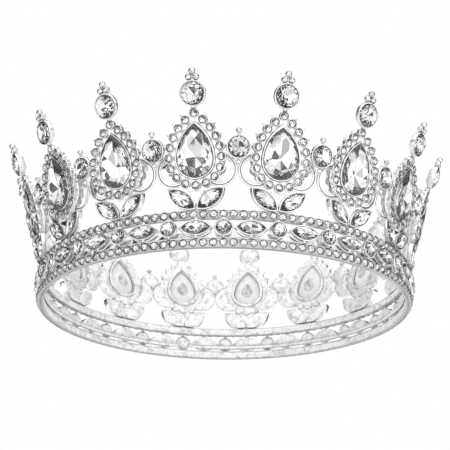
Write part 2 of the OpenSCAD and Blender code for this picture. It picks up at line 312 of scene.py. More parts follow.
GLASS, FOIL, EDGE_SHADE, LACQUER, TIP = 0, 1, 2, 3, 4
EDGE_W = 0.20                           # the width of the dark band painted round a stone's edge, as painted shade from its cup
STAR_RISE = 0.62                        # where the kites meet, for the height of the crown
HEART, HEART_DROP = 0.56, 0.52          # where the back's facets break, for its width and depth
ROUND_CROWN, ROUND_DEPTH = 0.15, 0.18   # above and below a round stone's edge, for its width
SMALL_CROWN, SMALL_DEPTH = 0.24, 0.36   # and the same for the small stones


def cut_stone(girdle_ring, centre, crown, depth, table, star=0.82):
    """A cut stone: table, kites and triangles above, a star of facets round the point below.

    Table and star are the widths of the table and of the ring where the kites meet, for the stone's."""
    s = Shape()
    cx, cy = centre
    n = len(girdle_ring) // 2
    reach = sum(sqrt((x - cx) ** 2 + (y - cy) ** 2) for x, y in girdle_ring) / len(girdle_ring)

    def scaled(points, k, z):
        return s.ring([(cx + k * (x - cx), cy + k * (y - cy), z) for x, y in points])

    mains, halves = girdle_ring[0::2], girdle_ring[1::2]
    top = GIRDLE_HIGH + crown
    t = scaled(mains, table, top)
    m = scaled(halves, star, GIRDLE_HIGH + crown * STAR_RISE)
    e = scaled(girdle_ring, 1 - EDGE_W / reach, GIRDLE_HIGH + EDGE_W / 2)
    g = scaled(girdle_ring, 1, GIRDLE_HIGH)
    h = scaled(girdle_ring, 1, GIRDLE_LOW)
    w = scaled(mains, HEART, GIRDLE_LOW - depth * HEART_DROP)
    c = s.ring([(cx, cy, GIRDLE_LOW - depth)])[0]
    s.face(t, GLASS)
    for i in range(n):
        j, before = (i + 1) % n, (i - 1) % n
        s.face((t[i], m[i], t[j]), GLASS)
        s.face((t[i], m[before], e[2 * i], m[i]), GLASS)
        s.face((m[i], e[2 * i], e[2 * i + 1]), GLASS)
        s.face((m[i], e[2 * i + 1], e[2 * j]), GLASS)
        s.face((c, w[j], w[i]), FOIL)
        s.face((w[i], h[2 * i + 1], h[2 * i]), FOIL)
        s.face((w[i], w[j], h[2 * i + 1]), FOIL)
        s.face((w[j], h[2 * j], h[2 * i + 1]), FOIL)
    # Painted shade: a dark metal band on the crown just above the girdle, where the cup shades the stone.
    s.band(e, g, EDGE_SHADE)
    s.band(g, h, FOIL)
    return s


def round_stone(d, mains=8, table=0.56, crown=ROUND_CROWN, depth=ROUND_DEPTH):
    return cut_stone(round_outline(d / 2, 2 * mains), (0, 0), crown * d, depth * d, table)


def leaf_stone(size):
    return cut_stone(leaf_outline(size)(0, 8), (0, 0), 0.85, 0.9, 0.5)


def pear_stone():
    """The pear, with the smooth lacquer over its foil, which shows through the open back of its cup."""
    middle, depth = 1.0, 2.2
    s = cut_stone(pear_outline(0, 4), (0, middle), 1.1, depth, 0.72, star=0.87)
    skin = [(0.985, 0.06), (0.93, 0.24), (0.78, 0.56), (0.56, 0.80), (0.38, 0.94), (0.1, 1.06)]
    rings = [[(k * x, middle + k * (y - middle), GIRDLE_LOW - depth * drop - 0.03)
              for x, y in pear_outline(0, 12)] for k, drop in skin]
    s.add(loft(rings[:5], False, False, LACQUER))
    s.add(loft(rings[:3:-1], True, False, TIP))
    return s


def set_stones(name, stone, places, nodes, wobble=0.0, spin=True, backing=None):
    """A stone in each place, set by hand: tilted by up to wobble degrees and turned anyhow."""
    s = Shape()
    for place in places:
        tilt = turn(random.uniform(-wobble, wobble), "X") @ turn(random.uniform(-wobble, wobble), "Y")
        twist = turn(random.uniform(0, 45), "Z") if spin else Matrix.Identity(4)
        s.add(stone, place @ move(0, 0, GIRDLE_LOW) @ tilt @ move(0, 0, -GIRDLE_LOW) @ twist)
    coats = [crystal, backing or foil, painted_stone_edge_shade, lacquer, lacquer_tip]
    return finish_piece(name, s, coats, nodes)


# ---------- cups ----------

def round_cup(d, h, steps, back=0.7):
    """A bezel with a rounded lip that laps just over the stone, and a domed back."""
    b = d / 2 + SETTING
    o = b + ROUND_WALL
    floor = 0.4 - h
    outside = [(b * back * 0.35, -h), (b * back * 0.8, -h + 0.02), (b * back, -h + 0.10),
               (o - 0.25, -h * 0.62), (o - 0.04, -h * 0.5), (o, -h * 0.42), (o, -0.16), (o - 0.05, -0.05)]
    lip = [(o - ROUND_WALL * 0.4, 0.02), (b + ROUND_WALL * 0.25, 0.0), (b - 0.02, -0.06), (b, -0.12)]
    inside = [(b, GIRDLE_LOW - SETTING), (b * 0.62, floor)]
    return revolve(outside + lip + inside, steps)


def outline_cup(outline, h, wall, steps, ledge=None):
    """A bezel that follows an outline, with a rounded lip, and a floor or a ledge and an open back."""
    b, o = SETTING, SETTING + wall
    levels = [(o - 0.22, -h), (o - 0.06, -h + 0.10), (o, -h + 0.3), (o, -0.18), (o - 0.06, -0.05),
              (o - wall * 0.45, 0.0), (b + wall * 0.2, -0.02), (b, -0.1)]
    if ledge is not None:
        levels += [(b, GIRDLE_LOW - SETTING), (ledge, GIRDLE_LOW - SETTING - 0.02), (ledge, -h + 0.15),
                   (ledge + 0.2, -h)]
        rings = [[(x, y, z) for x, y in outline(g, steps)] for g, z in levels]
        s = loft(rings, False, False)
        n = len(rings[0])
        last = len(s.verts) - n
        s.band(list(range(last, last + n)), list(range(n)))
        return s
    return from_outline(outline, levels + [(b, -h + 0.4)], steps)


def at_every_point(shape, places):
    s = Shape()
    for place in places:
        s.add(shape, place)
    return s


def cups(name, cup, places, nodes, smooth=38):
    return finish_piece(name, at_every_point(cup, places), [plate], nodes, smooth)


# ---------- materials ----------

def new_material(name):
    m = bpy.data.materials.new(name)
    m.use_nodes = True
    tree = m.node_tree
    tree.nodes.clear()
    out = tree.nodes.new("ShaderNodeOutputMaterial")
    shader = tree.nodes.new("ShaderNodeBsdfPrincipled")
    tree.links.new(shader.outputs["BSDF"], out.inputs["Surface"])
    return m, tree, shader


def noise(tree, scale, detail=3.0, rough=0.55):
    coord = tree.nodes.new("ShaderNodeTexCoord")
    tex = tree.nodes.new("ShaderNodeTexNoise")
    tex.inputs["Scale"].default_value = scale
    tex.inputs["Detail"].default_value = detail
    tex.inputs["Roughness"].default_value = rough
    tree.links.new(coord.outputs["Object"], tex.inputs["Vector"])
    return tex


def ramp(tree, source, stops):
    r = tree.nodes.new("ShaderNodeValToRGB")
    r.color_ramp.elements[0].position, r.color_ramp.elements[0].color = stops[0]
    r.color_ramp.elements[1].position, r.color_ramp.elements[1].color = stops[-1]
    for position, colour in stops[1:-1]:
        e = r.color_ramp.elements.new(position)
        e.color = colour
    tree.links.new(source, r.inputs["Fac"])
    return r


def map_range(tree, source, low, high):
    r = tree.nodes.new("ShaderNodeMapRange")
    r.inputs["To Min"].default_value = low
    r.inputs["To Max"].default_value = high
    tree.links.new(source, r.inputs["Value"])
    return r.outputs["Result"]


def grey(v, tint=(1.0, 1.0, 1.0)):
    return (v * tint[0], v * tint[1], v * tint[2], 1.0)


COOL = (0.985, 0.992, 1.0)


def math_node(tree, operation, a, b=None, clamp=False):
    n = tree.nodes.new("ShaderNodeMath")
    n.operation, n.use_clamp = operation, clamp
    for i, v in enumerate((a, b)):
        if v is None:
            continue
        if isinstance(v, (int, float)):
            n.inputs[i].default_value = v
        else:
            tree.links.new(v, n.inputs[i])
    return n.outputs[0]


def mix_colour(tree, blend, factor, a, b):
    mix = tree.nodes.new("ShaderNodeMix")
    mix.data_type, mix.blend_type = "RGBA", blend
    for socket, value in (("Factor", factor), ("A", a), ("B", b)):
        if isinstance(value, (float, tuple)):
            mix.inputs[socket].default_value = value
        else:
            tree.links.new(value, mix.inputs[socket])
    return mix.outputs["Result"]


def inwardness(tree):
    """0 on the outside of the crown and 1 on the surfaces that face the middle of the ring."""
    geometry = tree.nodes.new("ShaderNodeNewGeometry")
    coord = tree.nodes.new("ShaderNodeTexCoord")
    flat = tree.nodes.new("ShaderNodeVectorMath")
    flat.operation = "MULTIPLY"
    flat.inputs[1].default_value = (1, 1, 0)
    out = tree.nodes.new("ShaderNodeVectorMath")
    out.operation = "NORMALIZE"
    dot = tree.nodes.new("ShaderNodeVectorMath")
    dot.operation = "DOT_PRODUCT"
    tree.links.new(coord.outputs["Object"], flat.inputs[0])
    tree.links.new(flat.outputs["Vector"], out.inputs[0])
    tree.links.new(out.outputs["Vector"], dot.inputs[0])
    tree.links.new(geometry.outputs["True Normal"], dot.inputs[1])
    fade = tree.nodes.new("ShaderNodeMapRange")
    fade.inputs["From Min"].default_value = 0.15
    fade.inputs["From Max"].default_value = -0.35
    tree.links.new(dot.outputs["Value"], fade.inputs["Value"])
    return fade.outputs["Result"]


EDGE_LINE = 0.34                        # how far the painted dark edge lines reach from a rail's edges
RIM_LINES = (HEAD_R, HEAD_R + 1.0, RING_R - 0.65, RING_R - 0.25)


def near_edges(tree, radii, heights):
    """1 along the edges of a ring's section, at those radii and heights, and 0 away from them.

    Heights are folded about the middle of the band, so that both rails share them."""
    coord = tree.nodes.new("ShaderNodeTexCoord")
    split = tree.nodes.new("ShaderNodeSeparateXYZ")
    tree.links.new(coord.outputs["Object"], split.inputs[0])
    across = math_node(tree, "ADD", math_node(tree, "POWER", split.outputs["X"], 2.0),
                       math_node(tree, "POWER", split.outputs["Y"], 2.0))
    r = math_node(tree, "SQRT", across)
    middle = BAND_H / 2 * MM
    fold = math_node(tree, "SUBTRACT", middle,
                     math_node(tree, "ABSOLUTE", math_node(tree, "SUBTRACT", split.outputs["Z"], middle)))

    def nearest(value, lines):
        gaps = [math_node(tree, "ABSOLUTE", math_node(tree, "SUBTRACT", value, v * MM)) for v in lines]
        closest = gaps[0]
        for gap in gaps[1:]:
            closest = math_node(tree, "MINIMUM", closest, gap)
        return closest

    off = math_node(tree, "ADD", math_node(tree, "POWER", nearest(r, radii), 2.0),
                    math_node(tree, "POWER", nearest(fold, heights), 2.0))
    fade = tree.nodes.new("ShaderNodeMapRange")
    fade.inputs["From Min"].default_value = (EDGE_LINE * MM) ** 2
    fade.inputs["From Max"].default_value = (EDGE_LINE * 1.5 * MM) ** 2
    fade.inputs["To Min"].default_value = 1.0
    fade.inputs["To Max"].default_value = 0.0
    tree.links.new(off, fade.inputs["Value"])
    return fade.outputs["Result"]


def plated_metal(name, hollow_shade_stops, edges=None, tone=(0.88, 0.96), mottle=None):
    """Bright plating with casting ripples, painted shade in its crevices, and a paler satin inside
    with specks.

    The three stops of the painted shade are how open a spot is where it turns dark, grey and bright. The
    edge radii and heights are where dark lines are painted along the edges, in place of the dark
    reflections that rounded edges show, and mottle is the scale of the two tones where they don't follow
    the ripples."""
    m, tree, shader = new_material(name)
    slow = noise(tree, 260.0, 2.0)
    fine = noise(tree, 2600.0, 4.0, 0.65)
    inside = inwardness(tree)
    mottled = noise(tree, mottle, 3.0) if mottle else slow
    colour = ramp(tree, mottled.outputs["Fac"], [(0.35, grey(tone[0], COOL)), (0.6, grey(tone[1], COOL))])
    # Painted shade: the colour darkens where ambient occlusion finds a spot shut in, in creases, cups and
    # between parts, and less so on the inside.
    painted_hollow_shade = tree.nodes.new("ShaderNodeAmbientOcclusion")
    painted_hollow_shade.inputs["Distance"].default_value = 0.8 * MM
    painted_hollow_shade.samples = 8
    tones = (grey(0.06, COOL), grey(0.5), grey(1.0))
    shade = ramp(tree, painted_hollow_shade.outputs["AO"], list(zip(hollow_shade_stops, tones)))
    soft_shade = ramp(tree, painted_hollow_shade.outputs["AO"], [(0.1, grey(0.42, COOL)), (0.6, grey(1.0))])
    both = mix_colour(tree, "MIX", inside, shade.outputs["Color"], soft_shade.outputs["Color"])
    base = mix_colour(tree, "MULTIPLY", 1.0, colour.outputs["Color"], both)
    grain = noise(tree, 1300.0, 5.0, 0.7)
    specks = ramp(tree, grain.outputs["Fac"], [(0.36, grey(0.5)), (0.46, grey(1.0))])
    cast = noise(tree, 420.0, 3.0, 0.6)
    patches = ramp(tree, cast.outputs["Fac"], [(0.38, grey(0.66)), (0.49, grey(1.0))])
    rough_cast = mix_colour(tree, "MULTIPLY", 1.0, specks.outputs["Color"], patches.outputs["Color"])
    base = mix_colour(tree, "MULTIPLY", math_node(tree, "MULTIPLY", inside, 0.8), base, rough_cast)
    # Painted dark lines along the edges of the section, in place of the dark reflections that rounded edges
    # show, broken up by the slow ripples.
    if edges is not None:
        edge_shade_breakup = map_range(tree, slow.outputs["Fac"], 0.7, 1.0)
        edge_shade_mask = math_node(tree, "MULTIPLY", near_edges(tree, *edges), edge_shade_breakup)
        painted_edge_shade = ramp(tree, inside, [(0.0, grey(0.62)), (0.2, grey(0.12)), (0.5, grey(0.14)),
                                      (1.0, grey(0.56))])
        base = mix_colour(tree, "MULTIPLY", edge_shade_mask, base, painted_edge_shade.outputs["Color"])
    tree.links.new(base, shader.inputs["Base Color"])
    tree.links.new(map_range(tree, inside, 1.0, 0.3), shader.inputs["Metallic"])
    polish = map_range(tree, fine.outputs["Fac"], 0.06, 0.16)
    satin = map_range(tree, inside, 0.0, 0.26)
    tree.links.new(math_node(tree, "ADD", polish, satin), shader.inputs["Roughness"])
    height = tree.nodes.new("ShaderNodeBump")
    height.inputs["Strength"].default_value = 0.25
    height.inputs["Distance"].default_value = 0.05 * MM
    tree.links.new(slow.outputs["Fac"], height.inputs["Height"])
    tree.links.new(height.outputs["Normal"], shader.inputs["Normal"])
    return m


def crystal_glass():
    """Clear lead glass with faint polish marks."""
    m, tree, shader = new_material("cut_crystal")
    marks = noise(tree, 1800.0, 3.0)
    tree.links.new(map_range(tree, marks.outputs["Fac"], 0.0, 0.02), shader.inputs["Roughness"])
    tint = ramp(tree, marks.outputs["Fac"], [(0.3, grey(0.985, COOL)), (0.8, grey(1.0))])
    tree.links.new(tint.outputs["Color"], shader.inputs["Base Color"])
    shader.inputs["Transmission Weight"].default_value = 1.0
    shader.inputs["IOR"].default_value = 1.54
    return m


def back_coat(name, low, high, scale, metallic, rough_low, rough_high):
    """A coat behind or round a stone: foil, the dark band of painted shade round its edge, or the lacquer
    over it.
    """
    m, tree, shader = new_material(name)
    marks = noise(tree, scale, 2.0)
    tint = ramp(tree, marks.outputs["Fac"], [(0.3, grey(low, COOL)), (0.7, grey(high, COOL))])
    tree.links.new(tint.outputs["Color"], shader.inputs["Base Color"])
    tree.links.new(map_range(tree, marks.outputs["Fac"], rough_low, rough_high), shader.inputs["Roughness"])
    shader.inputs["Metallic"].default_value = metallic
    return m


# The three numbers after each name are the stops of its painted shade in crevices; the rails and strips
# also get painted dark edge lines.
plate = plated_metal("silver_plate", (0.22, 0.5, 0.72))
rail_plate = plated_metal("silver_plate_rails", (0.12, 0.3, 0.45), (RIM_LINES, (0.0, UPPER_RAIL_H)))
strip_plate = plated_metal("silver_plate_strips", (0.02, 0.10, 0.25), ((HEAD_R, HEAD_R), STRIP_Z))
bead_plate = plated_metal("silver_plate_beads", (0.3, 0.6, 0.9), tone=(0.5, 0.95), mottle=1000.0)
crystal = crystal_glass()
foil = back_coat("stone_foil", 0.94, 0.99, 900.0, 1.0, 0.0, 0.04)
pear_foil = back_coat("pear_foil", 0.94, 0.99, 900.0, 0.93, 0.0, 0.04)
# The dark band of painted shade round each stone's edge.
painted_stone_edge_shade = back_coat("painted_stone_edge_shade", 0.14, 0.40, 1500.0, 1.0, 0.15, 0.3)
lacquer = back_coat("stone_lacquer", 0.74, 0.92, 300.0, 0.0, 0.3, 0.45)
lacquer_tip = back_coat("stone_lacquer_tip", 0.30, 0.80, 420.0, 0.0, 0.3, 0.45)


# ---------- the band ----------

RECESS = 0.16                           # of the rail's face between its two edges
GROOVE = 0.12                           # the depth and half width of the two lines round its underside


def rail(name, z, h, node):
    """A rail with rounded edges, a cup round each stone and a pair of beads between stones."""
    s = Shape()
    around = 4 * RAIL_STONES
    low, high = z - h / 2, z + h / 2
    soft, face = 0.28, RING_R - 0.25
    section = [(HEAD_R, low + soft), (HEAD_R + soft * 0.3, low + soft * 0.3), (HEAD_R + soft, low)]
    for r in (HEAD_R + 0.75, HEAD_R + 1.45):
        section += [(r - GROOVE, low), (r - 0.02, low + GROOVE), (r + 0.02, low + GROOVE),
                    (r + GROOVE, low)]
    section += [(face - soft, low), (face - soft * 0.3, low + soft * 0.3), (face, low + soft),
               (face - RECESS, low + soft + 0.15), (face - RECESS, high - soft - 0.15),
               (face, high - soft), (face - soft * 0.3, high - soft * 0.3), (face - soft, high),
               (HEAD_R + soft, high), (HEAD_R + soft * 0.3, high - soft * 0.3), (HEAD_R, high - soft)]
    rows = []
    for r, height in section:
        rows.append(s.ring([(r * cos(2 * pi * i / around), r * sin(2 * pi * i / around), height)
                            for i in range(around)]))
    for a, b in zip(rows, rows[1:] + rows[:1]):
        s.band(a, b)
    b = SMALL_D / 2 + SETTING
    collar = revolve([(b + 0.22, -0.9), (b + 0.2, -0.1), (b + 0.15, -0.01), (b + 0.06, 0.0), (b, -0.08),
                      (b - 0.01, -0.4), (b * 0.6, -0.85)], 20)
    bead = ball(0.3, 10, 6)
    pitch = 360 / RAIL_STONES
    for k in range(RAIL_STONES):
        s.add(collar, on_band((k + 0.5) * pitch, z))
        for side in (-1, 1):
            s.add(bead, on_band(k * pitch, z + side * 0.85) @ move(0, 0, -0.22))
    return finish_piece(name, s, [rail_plate], [node], 40)


rail("lower_rail_piece", LOWER_RAIL_Z, LOWER_RAIL_H, "lower_rail")
rail("upper_rail_piece", UPPER_RAIL_Z, UPPER_RAIL_H, "upper_rail")
SMALL_STONE = round_stone(SMALL_D, 6, 0.42, SMALL_CROWN, SMALL_DEPTH)
set_stones("lower_rail_gems", SMALL_STONE, rail_places(LOWER_RAIL_Z), ["lower_rail_stones"], 10)
set_stones("upper_rail_gems", SMALL_STONE, rail_places(UPPER_RAIL_Z), ["upper_rail_stones"], 10)


def inner_strip(side):
    """A flat strip soldered inside the band, with softened edges and a tapered end at the back."""
    s = Shape()
    cuts, taper = 180, 3
    soft, start = 0.15, 0.05
    rows = []
    for i in range(cuts + 1):
        a = radians(side * (start + (180 - STRIP_GAP - start) * i / cuts))
        pinch = 0.45 * max(0.0, 1 - (cuts - i) / taper)
        low, high = STRIP_Z[0] + pinch, STRIP_Z[1] - pinch
        section = [(HEAD_R, low + soft), (HEAD_R + soft, low), (HEAD_R + STRIP_T, low),
                   (HEAD_R + STRIP_T, high), (HEAD_R + soft, high), (HEAD_R, high - soft)]
        rows.append(s.ring([(r * sin(a), -r * cos(a), z) for r, z in section]))
    for a, b in zip(rows, rows[1:]):
        s.band(a, b)
    s.face(reversed(rows[0]))
    s.face(rows[-1])
    return s


for side, word in ((-1, "left"), (1, "right")):
    finish_piece(f"inner_strip_{word}_piece", inner_strip(side), [strip_plate],
                 [f"inner_strip_{word}"], 30)

cups("band_round_settings", round_cup(BAND_ROUND_D, BAND_CUP_H, 36), BAND_ROUNDS, ["band_round_cups"])
cups("band_leaf_settings", outline_cup(leaf_outline(LEAF), BAND_CUP_H, LEAF_WALL, 20), BAND_LEAVES,
     ["band_leaf_cups"])
set_stones("band_round_gems", round_stone(BAND_ROUND_D), BAND_ROUNDS, ["band_round_stones"], 3)
set_stones("band_leaf_gems", leaf_stone(LEAF), BAND_LEAVES, ["band_leaf_stones"], 2, spin=False)


def band_links():
    """A small waisted bar on each side of a round cup, to the tip of the leaf cup beside it."""
    s = Shape()
    line_r = BAND_FACE_R - 1.1
    low = BAND_ROUND_D / 2 + SETTING + ROUND_WALL - 0.2
    high = line_r * pi / BAND_STONES - max(x for x, _ in leaf_outline(LEAF)(SETTING + LEAF_WALL, 8)) + 0.3
    link = between(((low - high) / 2, 0, 0), ((high - low) / 2, 0, 0), 0.55, 0.38)
    reach = degrees((low + high) / 2 / line_r)
    for i in range(BAND_STONES):
        for side in (-1, 1):
            s.add(link, on_band(i * 360 / BAND_STONES + side * reach, BAND_MID_Z, line_r))
    return finish_piece("band_link_bars", s, [plate], ["band_links"], 60)


def band_posts():
    """Short bars that tie each cup to the rails above and below it."""
    s = Shape()
    gap = (BAND_H - UPPER_RAIL_H - LOWER_RAIL_H) / 2
    for i in range(2 * BAND_STONES):
        round_edge = BAND_ROUND_D / 2 + SETTING + ROUND_WALL
        cup_edge = round_edge if i % 2 == 0 else LEAF[0] / 2 + SETTING + LEAF_WALL
        for side in (-1, 1):
            bar = between((0, side * (cup_edge - 0.25), 0), (0, side * (gap + 0.2), 0), 0.75, 0.5)
            s.add(bar, on_band(i * 180 / BAND_STONES, BAND_MID_Z, RING_R - 0.2))
    return finish_piece("band_post_bars", s, [plate], ["band_posts"], 60)


band_links()
band_posts()


# ---------- the points ----------

def petal(side):
    """A dished crescent with a rounded rim, cut away inside the line of the halo."""
    steps = 80
    to_pear = Vector((-side * (radians(STEP / 2) * face_r(PETAL_S) - PETAL_R), PEAR_S - PETAL_S))
    pole = -0.27 * to_pear               # the rings below are drawn round this point

    def reach(circle_centre, r, ray, far):
        """Where a ray from the pole meets a circle, on its near or its far side."""
        along = ray.dot(circle_centre - pole)
        miss = (circle_centre - pole).length_squared - along ** 2
        if miss >= r ** 2 or along < 0 and not far:
            return 2 * PETAL_R
        return along + (1 if far else -1) * sqrt(r ** 2 - miss)

    def level(inset, least, z):
        """The outline moved in by inset, but to no less than that share of its reach."""
        ring = []
        for i in range(steps):
            a = 2 * pi * i / steps
            ray = Vector((cos(a), sin(a)))
            full = min(reach(Vector((0, 0)), PETAL_R, ray, True), reach(to_pear, PETAL_TRIM_R, ray, False))
            r = max(full - inset, least * full)
            ring.append((pole.x + r * ray.x, pole.y + r * ray.y, z))
        return ring

    back = [(9, 0.1, -PETAL_T - 0.12), (2.2, 0.3, -PETAL_T - 0.08), (0.5, 0.6, -PETAL_T + 0.05),
            (0.12, 0.9, -PETAL_T + 0.2), (0, 1, -PETAL_T + 0.45)]
    rim = [(0.03, 0.9, -0.2), (0.2, 0.85, -0.03), (0.4, 0.8, 0.0), (0.62, 0.74, -0.05), (0.7, 0.72, -0.2)]
    groove = [(0.74, 0.71, -0.5), (0.95, 0.66, -0.52), (1.0, 0.65, -0.3)]
    dish = [(1.2, 0.6, -0.18), (1.7, 0.45, -0.16), (1.85, 0.42, -0.34), (2.0, 0.4, -0.26), (9, 0.1, -0.14)]
    return loft([level(*row) for row in back + rim + groove + dish])


for side, word in ((-1, "left"), (1, "right")):
    base_places = base_leaves(side)
    cups(f"base_leaf_settings_{word}", outline_cup(leaf_outline(BASE_LEAF), BASE_CUP_H, LEAF_WALL, 20),
         base_places, [f"base_leaf_cups_{word}"])
    set_stones(f"base_leaf_gems_{word}", leaf_stone(BASE_LEAF), base_places,
               [f"base_leaf_stones_{word}"], 3, spin=False)
    cups(f"petal_plates_{word}", petal(side), petals(side), [f"petals_{word}"], 50)


def heart_web():
    """The web between the base leaves, with softened edges."""
    def outline(grow, steps):
        return [(0, -2.6 - grow), (-1.6 - grow, 0.7), (-3.1 - grow, 2.9 + grow), (0, 2.5 + grow),
                (3.1 + grow, 2.9 + grow), (1.6 + grow, 0.7)]
    s = Shape()
    web = from_outline(outline, [(-0.1, -2.2), (0.05, -2.0), (0.05, -1.1), (-0.1, -0.9)], 0)
    for a in POINT_ANGLES:
        s.add(web, on_face(a, BASE_LEAF_S))
    return finish_piece("heart_web_plates", s, [plate], ["heart_webs"], 40)


heart_web()

PEARS = [on_face(a, PEAR_S) for a in POINT_ANGLES]
cups("pear_settings", outline_cup(pear_outline, PEAR_CUP_H, PEAR_WALL, 14, ledge=-0.5), PEARS,
     ["pear_cups"])
set_stones("pear_gems", pear_stone(), PEARS, ["pear_stones"], 2.5, spin=False, backing=pear_foil)


def halo():
    """The plate round a pear's cup and the cup for each small stone."""
    s = Shape()
    steps = 14
    inner, outer = SETTING + PEAR_WALL + SOLDER, HALO_GAP + 0.5
    levels = [(outer - 0.15, -HALO_T), (outer, -HALO_T + 0.15), (outer, -0.85), (outer - 0.2, -0.65),
              (inner + 0.15, -0.65), (inner, -0.8), (inner, -HALO_T + 0.1), (inner + 0.1, -HALO_T)]
    rings = [[(x, y, z) for x, y in pear_outline(g, steps)] for g, z in levels]
    web = loft(rings, False, False)
    n = len(rings[0])
    web.band(list(range(len(web.verts) - n, len(web.verts))), list(range(n)))
    s.add(web)
    b = SMALL_D / 2 + SETTING
    o = b + 0.3
    cup = revolve([(b * 0.7, -HALO_T - 0.02), (o - 0.1, -HALO_T + 0.05), (o, -HALO_T + 0.25),
                   (o, -0.15), (o - 0.06, -0.03), (b + 0.08, 0.0), (b, -0.08), (b, GIRDLE_LOW - 0.03),
                   (b * 0.6, -1.5)], 24)
    for x, y in HALO_SPOTS:
        s.add(cup, move(x, y, 0))
    return s


finish_piece("halo_settings", at_every_point(halo(), PEARS), [plate], ["halo_frames"], 40)
halo_places = [p @ move(x, y, 0) for p in PEARS for x, y in HALO_SPOTS[1:]]
apex_places = [p @ move(*HALO_SPOTS[0], 0) for p in PEARS]
set_stones("halo_gems", SMALL_STONE, halo_places, ["halo_stones"], 10)
set_stones("apex_gems", SMALL_STONE, apex_places, ["apex_stones"], 10)


def picots():
    """Small round-ended pegs that stand out from the halo's upper cups."""
    s = Shape()
    for k in range(1, 5):
        for side in (-1, 1):
            a = halo_turn(k * HALO_RUN / HALO_STONES)
            x, y = HALO_SPOTS[k]
            reach = SMALL_D / 2 + 0.2
            out = turn(degrees(a), "Z") @ turn(90, "Y")
            mirror = Matrix.Scale(-1, 4, (1, 0, 0)) if side < 0 else Matrix.Identity(4)
            foot = move(x + reach * cos(a), y + reach * sin(a), -0.9)
            s.add(peg(0.36, 1.15), mirror @ foot @ out)
    return s


finish_piece("halo_picot_pegs", at_every_point(picots(), PEARS), [bead_plate],
             ["halo_picots"], 50)

HALO_SIDE_K = 4                         # the halo stone that is level with the spacer


def halo_links():
    """A waisted bar on each side of a halo, to the spacer's cup beside it."""
    s = Shape()
    halo_edge = HALO_SPOTS[HALO_SIDE_K][0] + SMALL_D / 2 + SETTING + SMALL_WALL
    spacer_edge = radians(STEP / 2) * face_r(SPACER_S) - SPACER_D / 2 - SETTING - ROUND_WALL
    half = (spacer_edge - halo_edge) / 2 + 0.15
    link = between((-half, 0, 0), (half, 0, 0), 0.55, 0.4)
    swing = degrees((halo_edge + spacer_edge) / 2 / face_r(SPACER_S))
    for a in POINT_ANGLES:
        for side in (-1, 1):
            s.add(link, on_face(a + side * swing, SPACER_S) @ move(0, 0, -BEAD_DEPTH))
    return finish_piece("halo_link_bars", s, [plate], ["halo_links"], 60)


halo_links()

CRESTS = [on_face(a, CREST_S) for a in POINT_ANGLES]
cups("crest_settings", round_cup(CREST_D, CREST_CUP_H, 48, back=0.62), CRESTS, ["crest_cups"])
set_stones("crest_gems", round_stone(CREST_D), CRESTS, ["crest_stones"], 4)

neck_low = PEAR_S + APEX_Y + SMALL_D / 2 + SETTING + SMALL_WALL
neck_high = CREST_S - CREST_D / 2 - SETTING - ROUND_WALL
neck = between((0, neck_low - neck_high, 0), (0, neck_high - neck_low, 0), 1.0, 0.75, 16)
neck_places = [on_face(a, (neck_low + neck_high) / 2) @ move(0, 0, -BEAD_DEPTH) for a in POINT_ANGLES]
finish_piece("crest_neck_bars", at_every_point(neck, neck_places), [plate],
             ["crest_necks"], 60)


def finial():
    """Three beads, soldered in a triangle."""
    s = Shape()
    foot = CREST_D / 2 + SETTING + ROUND_WALL + SOLDER + FINIAL_R
    spread = FINIAL_R + 0.1
    first = sqrt(foot ** 2 - spread ** 2)
    second = first + sqrt((2 * FINIAL_R + SOLDER) ** 2 - spread ** 2)
    left, right, top = (-spread, first, 0), (spread, first, 0), (0, second, 0)
    for centre in (left, right, top):
        s.add(ball(FINIAL_R, 24, 14), move(*centre))
    ends = [(left, right), (left, top), (right, top)]
    ends += [((x, y, 0), (x * 0.8, y * 0.75, 0)) for x, y, _ in (left, right)]
    for a, b in ends:
        s.add(between(a, b, 0.6, 0.55))
    return s


finish_piece("crest_finial_beads", at_every_point(finial(), [p @ move(0, 0, -BEAD_DEPTH) for p in CRESTS]),
             [bead_plate], ["crest_finials"], 60)

SPACERS = [on_face(a + STEP / 2, SPACER_S) for a in POINT_ANGLES]
cups("spacer_settings", round_cup(SPACER_D, SPACER_CUP_H, 44), SPACERS, ["spacer_cups"])
set_stones("spacer_gems", round_stone(SPACER_D), SPACERS, ["spacer_stones"], 4)


def spacer_bead():
    """A bead on a short stem above the spacer stone."""
    foot = SPACER_D / 2 + SETTING + ROUND_WALL
    middle = foot + SOLDER + SPACER_STEM + SPACER_BEAD_R - 0.1
    s = Shape().add(ball(SPACER_BEAD_R, 20, 12), move(0, middle, 0))
    s.add(between((0, foot - 0.2, 0), (0, middle - 0.7, 0), 0.65, 0.5))
    return s


bead_places = [p @ move(0, 0, -BEAD_DEPTH) for p in SPACERS]
finish_piece("spacer_top_beads", at_every_point(spacer_bead(), bead_places), [bead_plate],
             ["spacer_beads"], 60)
link_s = SPACER_S - SPACER_D / 2 - SETTING - ROUND_WALL - SOLDER - SPACER_LINK_R
link_places = [on_face(a + STEP / 2, link_s) @ move(0, 0, -BEAD_DEPTH) for a in POINT_ANGLES]
finish_piece("spacer_link_beads", at_every_point(ball(SPACER_LINK_R, 20, 12), link_places), [plate],
             ["spacer_links"], 60)


# ---------- floor, light and camera ----------

FLOOR_Z = -0.1 * MM                     # just clear of the rim, so that the two faces do not fight


